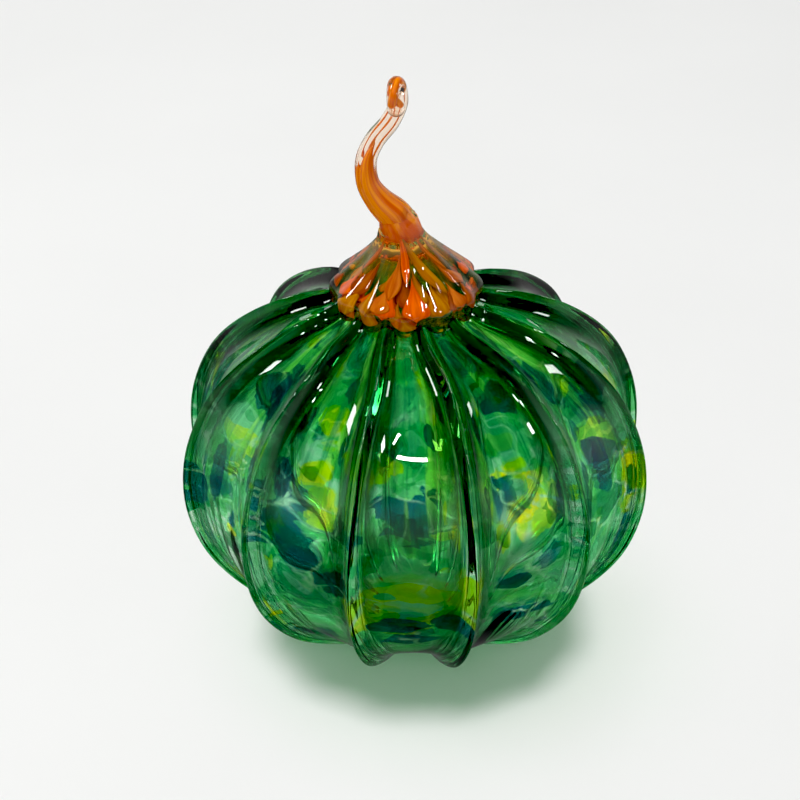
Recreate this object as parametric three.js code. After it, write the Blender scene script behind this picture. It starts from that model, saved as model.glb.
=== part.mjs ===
// A hand-blown glass pumpkin, in millimetres: +Z up, origin on the table under the middle.
// Two pieces of glass: the hollow ribbed body, and the solid stem that was dropped on it hot.
// Azimuth 0 is the front, -Y, and grows towards +X.
import * as THREE from "three";

const RIB_COUNT = 12;
const RIB_STEP = (2 * Math.PI) / RIB_COUNT;
const RIB_CREST = { width: 1.15, share: 0.58, ofPanel: 0.3 }; // the sharp crest
const RIB_SKIRT = { width: 3.6, share: 0.42, ofPanel: 0.39 }; // and the wide flank it stands on
const RIB_SAMPLES = [0, 0.12, 0.36, 1, 1.64, 1.88]; // across a rib, in half panels

// The rib crests' outline from the neck's lip to the base: radius, height, height of the rib
const CREST = [
  [6.6, 104.2, 0],
  [8.8, 101.6, 0.4],
  [11.4, 98.6, 1.0],
  [14.4, 94.8, 1.8],
  [18.6, 91.4, 2.6],
  [26.2, 90.0, 3.6],
  [37.8, 85.0, 4.6],
  [49.2, 75.2, 5.0],
  [55.6, 62.4, 5.0],
  [57.5, 50.0, 5.0],
  [56.0, 38.2, 5.0],
  [51.0, 26.4, 4.6],
  [41.0, 14.6, 4.0],
  [28.4, 6.2, 3.2],
  [18.0, 1.6, 2.0],
  [10.5, 0, 0],
  [0, 0, 0],
];
const SHOULDER_HEIGHT = 75.2; // the neck leans and thins above this
const FOOT_HEIGHT = 26.4; // the base thickens below this
const OUTER_ROWS = 20; // below the stem's rim
const INNER_ROWS = 12;
const WALL = 3.0;
const BASE_WALL = 5.5;
const LIP_WALL = 2.2;
const BASE_WALL_RADIUS = 30; // the base's extra thickness starts inside this radius
const LIP_WALL_RADIUS = 16;

// The neck stands a little to the left of the base and behind it: the top leans as it closes
const NECK_LEAN = -2.4;
const LEAN_BACK = -0.7; // backwards for each millimetre sideways
const LEAN_START_RADIUS = 37;
const LEAN_END_RADIUS = 15;

// The stem's cap, a bell: radius, height, sideways and backward place of its rings, rim first
const CAP_RINGS = [
  [17.3, 95.8, -2.1, 1.7],
  [14.5, 98.8, -2.0, 1.7],
  [11.4, 101.7, -2.1, 1.7],
  [8.6, 104.6, -2.4, 1.6],
  [6.3, 107.7, -2.9, 0.9],
  [5.1, 110.6, -3.5, 0.3],
];
const CAP_GAP = 0.35; // clear of the body all over
const CAP_RIM_RADIUS = 16.9; // where the rim's foot stands on the rib crests
const CAP_UNDER_ROWS = 5;
const RIM_RINGS = [[0.8, 0.8, 0.5], [1.0, 2.4, 0.8]]; // out, up, and how far the lobes swell
const LOBE_FADE = [0.6, 0.35, 0.15, 0, 0, 0];

// The stem's tail: x, y, z and radius, from the cap to the hooked tip
const TAIL = [
  [-5.0, 0, 114.7, 3.9],
  [-8.6, -0.2, 118.6, 3.2],
  [-11.2, -0.3, 123.0, 2.6],
  [-11.3, 0, 128.6, 2.45],
  [-9.4, 0.6, 133.2, 2.35],
  [-6.0, 1.4, 137.4, 2.25],
  [-4.0, 2.2, 141.6, 2.1],
  [-4.1, 1.9, 145.4, 2.0],
  [-4.5, -0.6, 147.4, 1.95],
  [-4.7, -3.0, 145.9, 1.95],
  [-4.5, -3.8, 143.2, 2.0],
];
const TAIL_ROWS = 30;
const TAIL_SIDES = 12;
const TIP_ROUND = [[0.55, 0.84], [0.9, 0.45]]; // along and across, in tip radii

const smoothstep = (t) => THREE.MathUtils.smoothstep(t, 0, 1);

// Azimuths of a ring that bends with the ribs: a rib crest stands half a step off the front
function ribAzimuths() {
  const azimuths = [];
  for (let rib = 0; rib < RIB_COUNT; rib += 1) {
    for (const share of RIB_SAMPLES) {
      azimuths.push(RIB_STEP * (rib + 0.5 + share / 2));
    }
  }
  return azimuths;
}

function evenAzimuths(count) {
  const start = RIB_STEP / 2;
  return Array.from({ length: count }, (_, i) => start + (2 * Math.PI * i) / count);
}

const crestCurve = new THREE.CatmullRomCurve3(
  CREST.map(([radius, height, rib]) => new THREE.Vector3(radius, height, rib)),
  false,
  "centripetal",
);

// The crest outline at a share s of its length: radius, height, rib height and outward normal
function crestAt(s) {
  const point = crestCurve.getPointAt(s);
  const tangent = crestCurve.getTangentAt(s);
  const normal = new THREE.Vector2(-tangent.y, tangent.x).normalize();
  return { radius: point.x, height: point.y, rib: Math.max(0, point.z), normal };
}

// The share of the crest outline, counted from the lip, at which it first reaches a radius
function shareAtRadius(radius) {
  let [low, high] = [0, 0.3];
  while (high - low > 1e-5) {
    const middle = (low + high) / 2;
    [low, high] = crestAt(middle).radius < radius ? [middle, high] : [low, middle];
  }
  return low;
}

const RIM_SHARE = shareAtRadius(CAP_RIM_RADIUS);
const CAP_SHARES = Array.from({ length: CAP_UNDER_ROWS + 1 }, (_, i) => (RIM_SHARE * i) / CAP_UNDER_ROWS);

// 1 on a rib's crest, falling in a concave flank to 0 on the panel
function ribShape(azimuth, radius) {
  const fromCrest = Math.abs(((azimuth / RIB_STEP) % 1) - 0.5) * RIB_STEP * radius;
  const halfPanel = (RIB_STEP * radius) / 2;
  const shapes = [RIB_CREST, RIB_SKIRT].map(({ width, share, ofPanel }) => {
    const reach = Math.max(Math.min(width, ofPanel * halfPanel), 0.01);
    return share / Math.cosh(fromCrest / reach) ** 2;
  });
  return shapes[0] + shapes[1];
}

function leanAt(radius, height) {
  if (height < SHOULDER_HEIGHT) {
    return 0;
  }
  return NECK_LEAN * smoothstep((LEAN_START_RADIUS - radius) / (LEAN_START_RADIUS - LEAN_END_RADIUS));
}

function around(azimuth, radius, height, x, y) {
  const [side, back] = [radius * Math.sin(azimuth), -radius * Math.cos(azimuth)];
  return new THREE.Vector3(x + side, y + back, Math.max(0, height));
}

// A point of the body's outer surface, moved out by offset
function outerPoint(s, azimuth, offset) {
  const { radius, height, rib, normal } = crestAt(s);
  const out = offset - rib * (1 - ribShape(azimuth, radius));
  const lean = leanAt(radius, height);
  return around(azimuth, radius + out * normal.x, height + out * normal.y, lean, lean * LEAN_BACK);
}

function wallAt(radius, height) {
  if (height > SHOULDER_HEIGHT) {
    const share = smoothstep(1 - radius / LIP_WALL_RADIUS);
    return WALL + (LIP_WALL - WALL) * share;
  }
  const share = height < FOOT_HEIGHT ? smoothstep(1 - radius / BASE_WALL_RADIUS) : 0;
  return WALL + (BASE_WALL - WALL) * share;
}

// A point of the body's inner surface, which follows the panels and not the ribs
function innerPoint(s, azimuth) {
  const { radius, height, rib, normal } = crestAt(s);
  const out = -(rib + wallAt(radius, height));
  const lean = leanAt(radius, height);
  const inner = Math.max(0, radius + out * normal.x);
  return around(azimuth, inner, height + out * normal.y, lean, lean * LEAN_BACK);
}

function ring(azimuths, place) {
  return { azimuths, points: azimuths.map(place) };
}

function pole(point) {
  return { azimuths: [0], points: [point] };
}

// Joins two rings with triangles that face out, whatever their numbers of points
function joinRings(above, below, triangles) {
  const [a, b] = [above.points.length, below.points.length];
  const [aboveSteps, belowSteps] = [a > 1 ? a : 0, b > 1 ? b : 0]; // a pole takes no steps
  const turn = (rim, i, n) => (i < n ? rim.azimuths[i] : rim.azimuths[0] + 2 * Math.PI);
  let [i, j] = [0, 0];
  while (i < aboveSteps || j < belowSteps) {
    const stepAbove = j >= belowSteps
      || (i < aboveSteps && turn(above, i + 1, a) <= turn(below, j + 1, b));
    if (stepAbove) {
      triangles.push(above.start + i, below.start + (j % b), above.start + ((i + 1) % a));
      i += 1;
    } else {
      triangles.push(above.start + (i % a), below.start + j, below.start + ((j + 1) % b));
      j += 1;
    }
  }
}

// One closed surface through a list of rings, each end closed by a pole
function loft(rings) {
  const positions = [];
  const triangles = [];
  for (const each of rings) {
    each.start = positions.length / 3;
    each.points.forEach((point) => positions.push(point.x, point.y, point.z));
  }
  for (let k = 0; k + 1 < rings.length; k += 1) {
    joinRings(rings[k], rings[k + 1], triangles);
  }
  const geometry = new THREE.BufferGeometry();
  geometry.setAttribute("position", new THREE.Float32BufferAttribute(positions, 3));
  geometry.setIndex(triangles);
  geometry.computeVertexNormals();
  return geometry;
}

// The hollow body: inside wall from the base up to the neck's lip, then outside wall down again
function bodyGeometry() {
  const azimuths = ribAzimuths();
  const rings = [pole(innerPoint(1, 0))];
  for (let row = INNER_ROWS - 1; row >= 0; row -= 1) {
    rings.push(ring(azimuths, (azimuth) => innerPoint(row / INNER_ROWS, azimuth)));
  }
  for (const s of CAP_SHARES) {
    rings.push(ring(azimuths, (azimuth) => outerPoint(s, azimuth, 0)));
  }
  for (let row = 1; row < OUTER_ROWS; row += 1) {
    const s = RIM_SHARE + ((1 - RIM_SHARE) * row) / OUTER_ROWS;
    rings.push(ring(azimuths, (azimuth) => outerPoint(s, azimuth, 0)));
  }
  rings.push(pole(outerPoint(1, 0, 0)));
  return loft(rings);
}

// The tail's rings, from the round tip down to the cap, each square to the tail's own curve
function tailRings() {
  const azimuths = evenAzimuths(TAIL_SIDES);
  const curve = new THREE.CatmullRomCurve3(TAIL.map(([x, y, z]) => new THREE.Vector3(x, y, z)));
  const radii = new THREE.CatmullRomCurve3(TAIL.map(([, , , r], i) => new THREE.Vector3(i, r, 0)));
  const front = new THREE.Vector3(0, -1, 0);
  const rings = [];
  const place = (centre, tangent, radius) => {
    front.addScaledVector(tangent, -front.dot(tangent)).normalize();
    const side = new THREE.Vector3().crossVectors(tangent, front);
    const [ahead, across] = [front.clone(), side];
    rings.push(ring(azimuths, (azimuth) => centre.clone()
      .addScaledVector(ahead, radius * Math.cos(azimuth))
      .addScaledVector(across, radius * Math.sin(azimuth))));
  };
  for (let row = 0; row <= TAIL_ROWS; row += 1) {
    const t = row / TAIL_ROWS;
    place(curve.getPoint(t), curve.getTangent(t), radii.getPoint(t).y);
  }
  const [end, tangent, tip] = [curve.getPoint(1), curve.getTangent(1), TAIL.at(-1)[3]];
  for (const [along, across] of TIP_ROUND) {
    place(end.clone().addScaledVector(tangent, along * tip), tangent, across * tip);
  }
  rings.push(pole(end.clone().addScaledVector(tangent, tip)));
  return rings.reverse();
}

// 1 in the middle of a valley, -1 on a rib
function lobe(azimuth) {
  return Math.cos(RIB_COUNT * azimuth);
}

// The cap's outside, from under the tail to the rim, whose lobes hang in the valleys
function capRings() {
  const azimuths = ribAzimuths();
  const rings = CAP_RINGS.map(([radius, height, x, y], i) => ring(azimuths, (azimuth) =>
    around(azimuth, radius + LOBE_FADE[i] * lobe(azimuth), height, x, y))).reverse();
  for (const [out, up, swell] of [...RIM_RINGS].reverse()) {
    rings.push(ring(azimuths, (azimuth) => {
      const foot = outerPoint(RIM_SHARE, azimuth, CAP_GAP);
      const reach = out + swell * lobe(azimuth);
      const step = new THREE.Vector3(reach * Math.sin(azimuth), -reach * Math.cos(azimuth), up);
      return foot.add(step);
    }));
  }
  return rings;
}

// The cap's underside follows the body's ribs, then closes over the neck's opening
function underRings() {
  const azimuths = ribAzimuths();
  const rings = CAP_SHARES.map((s) => ring(azimuths, (azimuth) => outerPoint(s, azimuth, CAP_GAP)));
  rings.reverse();
  const top = CREST[0][1] + CAP_GAP;
  rings.push(pole(new THREE.Vector3(NECK_LEAN, NECK_LEAN * LEAN_BACK, top)));
  return rings;
}

function stemGeometry() {
  return loft([...tailRings(), ...capRings(), ...underRings()]);
}

const greenGlass = new THREE.MeshStandardMaterial({
  color: 0x1e8a45,
  roughness: 0.05,
  metalness: 0,
  transparent: true,
  opacity: 0.8,
});
const amberGlass = new THREE.MeshStandardMaterial({
  color: 0xd9722a,
  roughness: 0.05,
  metalness: 0,
  transparent: true,
  opacity: 0.8,
});

const pumpkin = new THREE.Group();
const body = new THREE.Mesh(bodyGeometry(), greenGlass);
body.name = "pumpkin_body";
const stem = new THREE.Mesh(stemGeometry(), amberGlass);
stem.name = "stem";
pumpkin.add(body, stem);

export default pumpkin;
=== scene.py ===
"""A hand-blown glass pumpkin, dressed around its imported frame.

The body is a hollow ribbed bubble with colour chips melted into its wall. The stem is a solid bit
of clear glass with drawn-out colour drops, laid over the neck while hot and pulled into a curled
tail. Sizes are in metres unless a comment says millimetres. Azimuth 0 is the front (-Y) and grows
towards +X.
"""
import logging
import math
from dataclasses import dataclass, field
from enum import Enum, IntEnum
from typing import Any, Callable, Mapping, Sequence, Union

import bpy
import numpy as np
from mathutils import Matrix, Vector


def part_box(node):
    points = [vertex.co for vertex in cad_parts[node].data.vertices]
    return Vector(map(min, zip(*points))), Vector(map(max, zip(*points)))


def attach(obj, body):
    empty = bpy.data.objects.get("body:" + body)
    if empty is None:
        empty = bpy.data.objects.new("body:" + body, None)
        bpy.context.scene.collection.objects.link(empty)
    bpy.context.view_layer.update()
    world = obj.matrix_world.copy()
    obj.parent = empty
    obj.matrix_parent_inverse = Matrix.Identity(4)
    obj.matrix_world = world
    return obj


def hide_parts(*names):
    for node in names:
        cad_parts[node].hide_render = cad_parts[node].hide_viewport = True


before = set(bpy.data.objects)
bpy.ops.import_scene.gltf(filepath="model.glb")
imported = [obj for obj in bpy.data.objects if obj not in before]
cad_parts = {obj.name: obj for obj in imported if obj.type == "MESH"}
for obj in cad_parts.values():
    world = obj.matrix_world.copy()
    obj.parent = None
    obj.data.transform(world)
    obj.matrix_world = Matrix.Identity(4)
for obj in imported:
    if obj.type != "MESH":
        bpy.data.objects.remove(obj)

LOG = logging.getLogger("glass_pumpkin")
MM = 0.001
Colour = tuple[float, float, float]
Array = np.ndarray
Surface = Callable[[Array, Array], Array]


# ---------------------------------------------------------------------------------------------
# Shader building
# ---------------------------------------------------------------------------------------------


class Value:
    """A number on its way through a node tree, with Python's arithmetic."""

    def __init__(self, steps: "Steps", socket: bpy.types.NodeSocket) -> None:
        """Hold a socket of a node tree.

        Args:
            steps: the tree that the socket is in.
            socket: the output socket that gives the number.
        """
        self.steps = steps
        self.socket = socket

    def _math(self, operation: str, *operands: Union["Value", float]) -> "Value":
        """Add one Math node and return its result."""
        node = self.steps.node("ShaderNodeMath", {"operation": operation}, dict(enumerate(operands)))
        return Value(self.steps, node.outputs[0])

    def __add__(self, other: Union["Value", float]) -> "Value":
        """self + other."""
        return self._math("ADD", self, other)

    __radd__ = __add__

    def __sub__(self, other: Union["Value", float]) -> "Value":
        """self - other."""
        return self._math("SUBTRACT", self, other)

    def __rsub__(self, other: Union["Value", float]) -> "Value":
        """other - self."""
        return self._math("SUBTRACT", other, self)

    def __mul__(self, other: Union["Value", float]) -> "Value":
        """self * other."""
        return self._math("MULTIPLY", self, other)

    __rmul__ = __mul__

    def clamp(self) -> "Value":
        """self, kept between 0 and 1."""
        return self._math("MAXIMUM", self._math("MINIMUM", self, 1.0), 0.0)

    def step(self, low: float, high: float) -> "Value":
        """Rise softly from 0 at low to 1 at high.

        Args:
            low: where the rise starts.
            high: where it ends, which may be under low for a fall.

        Returns:
            The eased share of the way from low to high.
        """
        share = ((self - low) * (1.0 / (high - low))).clamp()
        return share * share * (3.0 - 2.0 * share)


class Steps:
    """The node tree of a material or the room, written as a list of steps."""

    def __init__(self, owner: Union[bpy.types.Material, bpy.types.World]) -> None:
        """Start with no nodes.

        Args:
            owner: what the nodes belong to.
        """
        owner.use_nodes = True
        self.tree = owner.node_tree
        self.tree.nodes.clear()

    def node(self, kind: str, settings: Mapping[str, Any], sockets: Mapping[Any, Any]) -> bpy.types.Node:
        """Add a node, set it up, then fill or link its inputs.

        Args:
            kind: the node's type.
            settings: its properties, with a ramp's stops under "stops".
            sockets: a value, a link or a Value for each input, by index, name or identifier.

        Returns:
            The new node.
        """
        node = self.tree.nodes.new(kind)
        for key, value in settings.items():
            if key == "stops":
                self._set_stops(node.color_ramp, value)
            else:
                setattr(node, key, value)
        for key, value in sockets.items():
            self._fill(self._input(node, key), value)
        return node

    @staticmethod
    def _set_stops(ramp: bpy.types.ColorRamp, stops: Sequence[tuple[float, Colour]]) -> None:
        """Give a ramp its stops.

        Args:
            ramp: the ramp.
            stops: the place and colour of each stop, in order.
        """
        while len(ramp.elements) < len(stops):
            ramp.elements.new(1.0)
        for element, (place, colour) in zip(ramp.elements, stops):
            element.position = place
            element.color = (*colour, 1.0)

    @staticmethod
    def _input(node: bpy.types.Node, key: Any) -> bpy.types.NodeSocket:
        """The input of a node by index, identifier or name."""
        if isinstance(key, int):
            return node.inputs[key]
        return next(s for s in node.inputs if key in (s.identifier, s.name))

    def _fill(self, socket: bpy.types.NodeSocket, value: Any) -> None:
        """Link or set one input.

        Args:
            socket: the input.
            value: a Value, an output socket, a number or a tuple.
        """
        if isinstance(value, Value):
            self.tree.links.new(value.socket, socket)
        elif isinstance(value, bpy.types.NodeSocket):
            self.tree.links.new(value, socket)
        elif isinstance(value, tuple) and len(value) == 3 and socket.type == "RGBA":
            socket.default_value = (*value, 1.0)
        else:
            socket.default_value = value

    def ramp(
        self, factor: Value, stops: Sequence[tuple[float, Colour]], shape: str = "LINEAR"
    ) -> bpy.types.NodeSocket:
        """Turn a number into a colour.

        Args:
            factor: the number, 0 to 1.
            stops: the place and colour of each stop.
            shape: the ramp's interpolation.

        Returns:
            The colour's socket.
        """
        node = self.node("ShaderNodeValToRGB", {"stops": stops}, {0: factor})
        node.color_ramp.interpolation = shape
        return node.outputs[0]


class Recipe(Steps):
    """One material's node tree."""

    def __init__(self, name: str) -> None:
        """Start an empty material.

        Args:
            name: the material's name.
        """
        self.material = bpy.data.materials.new(name)
        super().__init__(self.material)

    def attribute(self, name: str) -> bpy.types.Node:
        """The node that reads a named mesh attribute."""
        return self.node("ShaderNodeAttribute", {"attribute_name": name}, {})

    def number(self, name: str) -> Value:
        """A mesh attribute that holds one number a point."""
        return Value(self, self.attribute(name).outputs["Fac"])

    def scaled(self, vector: Any, scale: Colour, offset: Any = (0.0, 0.0, 0.0)) -> bpy.types.NodeSocket:
        """Scale a vector along its axes, then move it."""
        sockets = {0: vector, 1: scale, 2: offset}
        return self.node("ShaderNodeVectorMath", {"operation": "MULTIPLY_ADD"}, sockets).outputs[0]

    def noise(self, vector: Any, scale: float, detail: float = 2.0) -> Value:
        """Soft noise around 0.5."""
        node = self.node("ShaderNodeTexNoise", {}, {"Vector": vector, "Scale": scale, "Detail": detail})
        return Value(self, node.outputs["Fac"])

    def warped(self, vector: Any, scale: float, amount: float) -> bpy.types.NodeSocket:
        """Bend a vector field a little with noise, as hot glass drags colour.

        Args:
            vector: the field.
            scale: the noise's fineness.
            amount: how far it drags.

        Returns:
            The bent field's socket.
        """
        noise = self.node("ShaderNodeTexNoise", {}, {"Vector": vector, "Scale": scale, "Detail": 1.0})
        sockets = {0: noise.outputs["Color"], 1: (0.5, 0.5, 0.5)}
        drag = self.node("ShaderNodeVectorMath", {"operation": "SUBTRACT"}, sockets).outputs[0]
        return self.scaled(drag, (amount,) * 3, vector)

    def cells(self, vector: Any, scale: float, feature: str = "F1") -> bpy.types.Node:
        """A cell pattern, as chips lie against each other."""
        return self.node("ShaderNodeTexVoronoi", {"feature": feature}, {"Vector": vector, "Scale": scale})

    def mix(self, factor: Any, first: Any, second: Any, blend: str = "MIX") -> bpy.types.NodeSocket:
        """Mix two colours.

        Args:
            factor: the second colour's share.
            first: a colour or its socket.
            second: a colour or its socket.
            blend: how they are mixed.

        Returns:
            The mixed colour's socket.
        """
        node = self.node(
            "ShaderNodeMix",
            {"data_type": "RGBA", "blend_type": blend},
            {"Factor_Float": factor, "A_Color": first, "B_Color": second},
        )
        return next(s for s in node.outputs if s.identifier == "Result_Color")

    def finish(self, surface: bpy.types.NodeSocket) -> bpy.types.Material:
        """Send a shader to the output."""
        self.node("ShaderNodeOutputMaterial", {}, {"Surface": surface})
        return self.material


# ---------------------------------------------------------------------------------------------
# Finishes
# ---------------------------------------------------------------------------------------------


class GlassColour(Enum):
    """The coloured glasses' base colours."""

    CLEAR = (0.78, 0.98, 0.82)
    MINT = (0.50, 0.92, 0.65)
    LEAF = (0.46, 0.84, 0.14)
    KELLY = (0.24, 0.80, 0.33)
    EMERALD = (0.12, 0.62, 0.27)
    DEEP = (0.035, 0.33, 0.16)
    TEAL = (0.010, 0.15, 0.23)
    LIME = (0.98, 0.98, 0.03)


class DropColour(Enum):
    """The stem's opaque drops."""

    ORANGE = (0.86, 0.165, 0.002)
    OCHRE = (0.50, 0.24, 0.010)
    SALMON = (0.60, 0.19, 0.05)
    AMBER = (0.34, 0.08, 0.002)


@dataclass(frozen=True)
class Glass:
    """Fire-polished clear or tinted glass."""

    name: str
    base: Colour
    shadow: Colour
    ior: float = 1.5  # 1 where the surface is melted into other glass
    roughness: float = 0.0
    transmission: float = 1.0  # less than 1 where the glass is cloudy
    gloss: float = 0.5  # 0.5 mirrors as the IOR says, less mirrors less

    def shader(self, recipe: Recipe, base: Any) -> bpy.types.NodeSocket:
        """Glass that lets tinted light through to what stands behind it.

        Args:
            recipe: the material's recipe.
            base: the base colour or its socket.

        Returns:
            The shader's socket.
        """
        glass = recipe.node(
            "ShaderNodeBsdfPrincipled",
            {},
            {
                "Base Color": base,
                "Roughness": self.roughness,
                "IOR": self.ior,
                "Specular IOR Level": self.gloss,
                "Transmission Weight": self.transmission,
            },
        )
        passing = recipe.node("ShaderNodeBsdfTransparent", {}, {"Color": self.shadow})
        path = recipe.node("ShaderNodeLightPath", {}, {})
        surface = glass.outputs[0]
        for ray in ("Is Diffuse Ray", "Is Shadow Ray"):
            sockets = {0: path.outputs[ray], 1: surface, 2: passing.outputs[0]}
            surface = recipe.node("ShaderNodeMixShader", {}, sockets).outputs[0]
        return surface

    def material(self) -> bpy.types.Material:
        """This glass in one even colour."""
        recipe = Recipe(self.name)
        return recipe.finish(self.shader(recipe, self.base))


@dataclass(frozen=True)
class Flakes:
    """One strewing of colour chips."""

    stretch: Colour  # chips per flow unit along each axis
    offset: Colour  # where the strewing is read, so that no two are alike
    largest: float  # how far the largest chips reach, in steps from chip to chip
    strength: float = 0.97  # how fully a chip hides what it lies on
    soft: float = 0.035  # width of a chip's edge


@dataclass(frozen=True)
class ChipGlass(Glass):
    """Glass with chips of green, teal and lime melted into it."""

    shift: Colour = (0.0, 0.0, 0.0)  # where the chips are read, so that two surfaces differ
    depth: float = 1.0  # how much of the wall's colour this surface carries, of 2
    veins: float = 0.85  # how clear the glass between chips is
    rib_shade_strength: float = 0.48  # how much painted shade darkens the ribs and their feet
    rib_shade_near_neck: float = 0.47  # how much deeper that painted shade is near the neck

    # the glass between the chips, where the noise is low to where it is high
    GROUND = (
        (0.30, GlassColour.DEEP.value),
        (0.42, GlassColour.EMERALD.value),
        (0.55, GlassColour.KELLY.value),
        (0.70, GlassColour.MINT.value),
    )
    # the chance from which a chip has each colour
    CHIPS = (
        (0.00, GlassColour.MINT.value),
        (0.20, GlassColour.KELLY.value),
        (0.36, GlassColour.EMERALD.value),
        (0.56, GlassColour.DEEP.value),
        (0.72, GlassColour.CLEAR.value),
        (0.86, GlassColour.TEAL.value),
        (0.94, GlassColour.LIME.value),
    )
    NECK_YELLOW = (0.95, 0.70, 0.04)
    # darker towards the neck: partly denser colour, partly painted shade
    SHOULDER_DYE_AND_SHADE = (0.13, 0.42, 0.19)
    # painted shade along the ribs and their feet
    PAINTED_RIB_SHADE = (0.03, 0.18, 0.09)

    def _strewings(self) -> tuple[Flakes, ...]:
        """Large, middling and small chips."""
        x, y, z = self.shift
        return (
            Flakes((0.55, 0.55, 0.80), (x, y, z), 0.85),
            Flakes((1.00, 1.00, 1.30), (y + 3.1, z, x), 0.62),
            Flakes((1.80, 1.80, 2.40), (z, x + 4.1, y), 0.52),
        )

    def _strewn(self, recipe: Recipe, flow: Any, flakes: Flakes, colour: Any) -> bpy.types.NodeSocket:
        """Lay one strewing of chips over what is there.

        Args:
            recipe: the material's recipe.
            flow: the socket of the glass's flow field.
            flakes: the strewing.
            colour: the socket of the colour so far.

        Returns:
            The new colour's socket.
        """
        cells = recipe.cells(recipe.scaled(flow, flakes.stretch, flakes.offset), 1.0)
        chance = recipe.node("ShaderNodeSeparateColor", {}, {0: cells.outputs["Color"]})
        reach = Value(recipe, chance.outputs[1]) * (flakes.largest * 1.3) - flakes.largest * 0.3
        mask = (reach - Value(recipe, cells.outputs["Distance"])).step(0.0, flakes.soft)
        tone = recipe.ramp(Value(recipe, chance.outputs[0]), self.CHIPS, "CONSTANT")
        return recipe.mix(mask * flakes.strength, colour, tone)

    def _height_dye_and_shade(self, recipe: Recipe, flow: Any, colour: Any) -> bpy.types.NodeSocket:
        """Streak the colour and darken it towards the neck, partly as denser colour and partly as painted
        shade; paint shade along the ribs; even out the foot in a darker green that is partly painted shade.

        Args:
            recipe: the material's recipe.
            flow: the socket of the glass's flow field.
            colour: the socket of the colour so far.

        Returns:
            The new colour's socket.
        """
        height = recipe.number("height")
        fine = recipe.noise(recipe.scaled(flow, (4.5, 4.5, 0.22)), 1.0, 3.0).step(0.45, 0.6)
        broad = recipe.noise(recipe.scaled(flow, (2.6, 2.6, 0.25), (9.0, 2.0, 4.0)), 1.0).step(0.56, 0.64)
        dark_streaks = fine * height.step(0.45, 0.8) * 0.85
        pale_streaks = broad * height.step(0.5, 0.75) * 0.8
        colour = recipe.mix(height.step(0.96, 1.0), colour, self.NECK_YELLOW)
        # darker towards the neck: partly denser colour, partly painted shade
        colour = recipe.mix(height.step(0.60, 0.86) * 0.80, colour, self.SHOULDER_DYE_AND_SHADE, "MULTIPLY")
        colour = recipe.mix(dark_streaks, colour, GlassColour.DEEP.value)
        colour = recipe.mix(pale_streaks, colour, GlassColour.LEAF.value)
        # the foot evened out to one darker green, partly a painted shade for what is seen through the base
        colour = recipe.mix(recipe.number("foot") * 0.9, colour, GlassColour.EMERALD.value)
        # painted shade along the ribs, strongest at their feet and deeper towards the neck
        rib = recipe.number("rib")
        at_feet = rib.step(0.04, 0.30) * (1.0 - rib.step(0.55, 0.9) * 0.6)
        rib_shade_mask = at_feet * (height.step(0.45, 0.78) * self.rib_shade_near_neck + self.rib_shade_strength)
        return recipe.mix(rib_shade_mask, colour, self.PAINTED_RIB_SHADE, "MULTIPLY")

    def material(self) -> bpy.types.Material:
        """The coloured glass's material.

        Returns:
            The material, which reads all the attributes that the body's mesh has.
        """
        recipe = Recipe(self.name)
        plain_flow = recipe.attribute("flow").outputs["Vector"]
        flow = recipe.warped(recipe.warped(plain_flow, 0.55, 1.5), 2.4, 0.34)
        colour = recipe.ramp(recipe.noise(flow, 0.55, 3.0), self.GROUND)
        for flakes in self._strewings():
            colour = self._strewn(recipe, flow, flakes, colour)
        ragged = (recipe.noise(flow, 2.3, 3.0) - 0.5) * 1.3
        for tone in (GlassColour.MINT, GlassColour.LIME, GlassColour.TEAL):
            mask = (recipe.number(tone.name.lower()) + ragged).step(0.0, 0.08)
            colour = recipe.mix(mask, colour, tone.value)
        edge = Value(recipe, recipe.cells(flow, 0.8, "DISTANCE_TO_EDGE").outputs["Distance"])
        vein = edge.step(0.05, 0.0) * recipe.noise(flow, 1.1, 1.0).step(0.36, 0.48)
        colour = recipe.mix(vein * self.veins, colour, GlassColour.CLEAR.value)
        colour = self._height_dye_and_shade(recipe, plain_flow, colour)
        colour = recipe.node("ShaderNodeGamma", {}, {"Color": colour, "Gamma": self.depth}).outputs[0]
        return recipe.finish(self.shader(recipe, colour))


@dataclass(frozen=True)
class StemGlass(Glass):
    """The stem's clear glass, which turns amber towards the rim of the cap."""

    amber: Colour = (0.86, 0.43, 0.05)

    def material(self) -> bpy.types.Material:
        """The stem's material, which reads the mesh's amber attribute."""
        recipe = Recipe(self.name)
        colour = recipe.mix(recipe.number("amber"), self.base, self.amber)
        return recipe.finish(self.shader(recipe, colour))


@dataclass(frozen=True)
class AmberJoint(Glass):
    """Thin amber colour, unevenly melted in where the stem meets the body."""

    def material(self) -> bpy.types.Material:
        """The joint's material."""
        recipe = Recipe(self.name)
        place = recipe.node("ShaderNodeTexCoord", {}, {}).outputs["Object"]
        cloud = recipe.noise(place, 260.0, 3.0).step(0.38, 0.62)
        red, green, blue = self.base
        burnt = (red * 0.55, green * 0.35, blue * 0.3)
        return recipe.finish(self.shader(recipe, recipe.mix(cloud, burnt, self.base)))


@dataclass(frozen=True)
class DropGlass:
    """Opaque colour, streaked along its length."""

    name: str
    tone: DropColour
    gold: float = 1.25  # how much more yellow the paler streaks are

    def material(self) -> bpy.types.Material:
        """The drops' material.

        Returns:
            The material, which reads the mesh's flow attribute.
        """
        recipe = Recipe(self.name)
        flow = recipe.attribute("flow").outputs["Vector"]
        streak = recipe.noise(flow, 1.0, 3.0).step(0.35, 0.7)
        red, green, blue = self.tone.value
        colour = recipe.mix(streak, (red * 0.72, green * 0.6, blue), (red, green * self.gold, blue * 1.4))
        sockets = {"Base Color": colour, "Roughness": 0.35, "IOR": 1.5, "Specular IOR Level": 0.2}
        return recipe.finish(recipe.node("ShaderNodeBsdfPrincipled", {}, sockets).outputs[0])


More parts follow.
